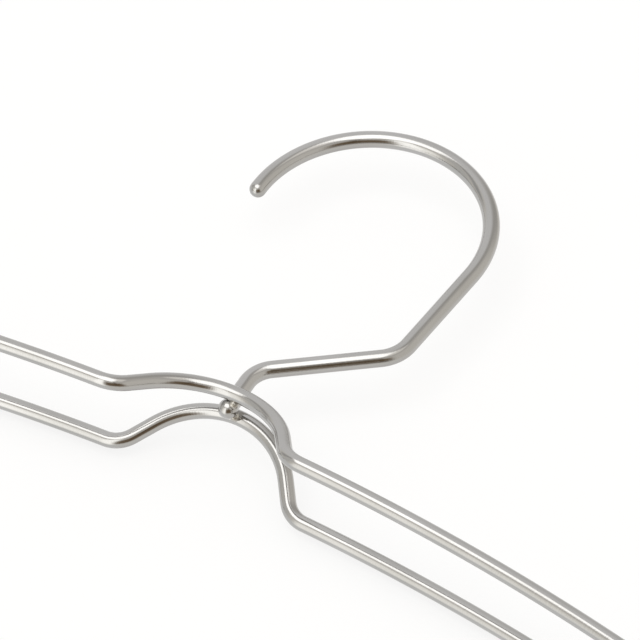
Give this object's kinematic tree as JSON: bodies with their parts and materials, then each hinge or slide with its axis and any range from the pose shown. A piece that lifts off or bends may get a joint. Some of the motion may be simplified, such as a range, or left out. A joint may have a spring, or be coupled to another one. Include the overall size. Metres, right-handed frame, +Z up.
{
  "type": "trouser hanger",
  "caption": "Stainless wire trouser hanger: welded hook over an arched, bowed double rail, with sprung clips that slide along the rail.",
  "frame": {"origin": "the seat under the crown of the hook, where the hanger hangs on a rod", "axes": "+X along the rails, +Y from the clips towards the crown of the hook, +Z up, square to the hanger's plane as it lies on its back"},
  "size_m": [0.32, 0.1575, 0.0242],
  "materials": {
    "polished_wire": "polished",
    "weld_metal": "as welded, polished over",
    "pressed_steel": "satin",
    "rivet_steel": "satin",
    "spring_steel": "bright drawn",
    "shoe_rubber": "matte"
  },
  "bodies": {
    "frame": {"hook": "polished_wire", "rail_loop": "polished_wire", "front_weld": "weld_metal", "back_weld": "weld_metal"},
    "left_carriage": {"left_runner": "pressed_steel", "left_pivot_pin": "rivet_steel", "left_spring": "spring_steel"},
    "left_front_jaw": {"left_front_jaw": "pressed_steel", "left_front_shoe": "shoe_rubber"},
    "left_back_jaw": {"left_back_jaw": "pressed_steel", "left_back_shoe": "shoe_rubber"},
    "right_carriage": {"right_runner": "pressed_steel", "right_pivot_pin": "rivet_steel", "right_spring": "spring_steel"},
    "right_front_jaw": {"right_front_jaw": "pressed_steel", "right_front_shoe": "shoe_rubber"},
    "right_back_jaw": {"right_back_jaw": "pressed_steel", "right_back_shoe": "shoe_rubber"}
  },
  "joints": [
    {"name": "left_clip_slide", "type": "hinge", "parent": "frame", "child": "left_carriage", "pos_m": [0.0028, -0.58566, 0], "axis": [0, 0, -1], "range_deg": [-1.9, 10.1]},
    {"name": "left_front_jaw_hinge", "type": "hinge", "parent": "left_carriage", "child": "left_front_jaw", "pos_m": [-0.11594, -0.11851, 0], "axis": [-0.9692, -0.2463, 0], "range_deg": [0, 16], "stiffness_Nm_per_rad": 0.12, "springref_deg": -57.3, "deforming": ["left_spring"]},
    {"name": "left_back_jaw_hinge", "type": "hinge", "parent": "left_carriage", "child": "left_back_jaw", "pos_m": [-0.11594, -0.11851, 0], "axis": [-0.9692, -0.2463, 0], "range_deg": [-16, 0]},
    {"name": "right_clip_slide", "type": "hinge", "parent": "frame", "child": "right_carriage", "pos_m": [0.0028, -0.58566, 0], "axis": [0, 0, 1], "range_deg": [-1.9, 10.1]},
    {"name": "right_front_jaw_hinge", "type": "hinge", "parent": "right_carriage", "child": "right_front_jaw", "pos_m": [0.12154, -0.11851, 0], "axis": [-0.9692, 0.2463, 0], "range_deg": [0, 16], "stiffness_Nm_per_rad": 0.12, "springref_deg": -57.3, "deforming": ["right_spring"]},
    {"name": "right_back_jaw_hinge", "type": "hinge", "parent": "right_carriage", "child": "right_back_jaw", "pos_m": [0.12154, -0.11851, 0], "axis": [-0.9692, 0.2463, 0], "range_deg": [-16, 0]}
  ],
  "couplings": [
    {"joint": "left_back_jaw_hinge", "follows": "left_front_jaw_hinge", "ratio": -1},
    {"joint": "right_back_jaw_hinge", "follows": "right_front_jaw_hinge", "ratio": -1}
  ]
}
